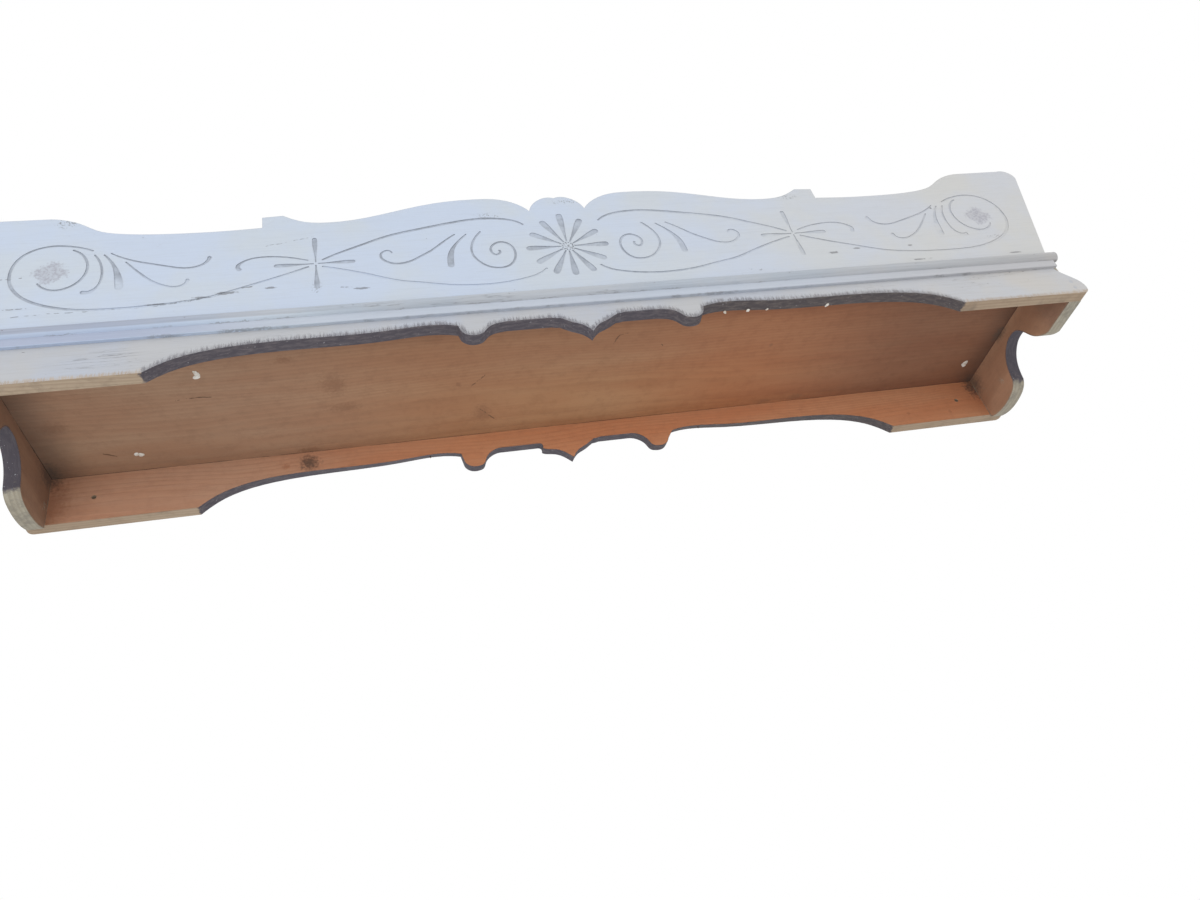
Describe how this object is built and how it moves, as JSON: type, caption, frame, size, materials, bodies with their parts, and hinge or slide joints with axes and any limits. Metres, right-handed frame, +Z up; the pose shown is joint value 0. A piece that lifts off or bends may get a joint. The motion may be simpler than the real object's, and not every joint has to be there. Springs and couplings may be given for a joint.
{
  "type": "wall shelf",
  "caption": "Painted wooden wall shelf with a carved crest board, scalloped front and rear aprons, and end brackets with C-shaped cut-outs.",
  "frame": {"origin": "on the wall plane, midway between the two wall screw holes in the rear apron", "axes": "+X along the shelf, to the right seen from the front; +Y back into the wall; +Z up"},
  "size_m": [1.3812, 0.273, 0.2687],
  "materials": {
    "painted_face": "old matt bluish-white paint, worn at the edges",
    "painted_moulding": "old matt grey-white paint",
    "bare_pine": "bare aged pine",
    "nail_iron": "dull oxidised"
  },
  "bodies": {
    "root": {"crest_panel": "painted_face", "front_apron": "painted_face", "waist_moulding": "painted_moulding", "shelf_board": "bare_pine", "rear_apron": "bare_pine", "left_bracket": "bare_pine", "right_bracket": "bare_pine", "crest_nails": "nail_iron", "apron_nails": "nail_iron", "moulding_pins": "nail_iron", "bracket_top_nails": "nail_iron", "rear_top_nails": "nail_iron", "rear_end_nails": "nail_iron"}
  },
  "joints": []
}
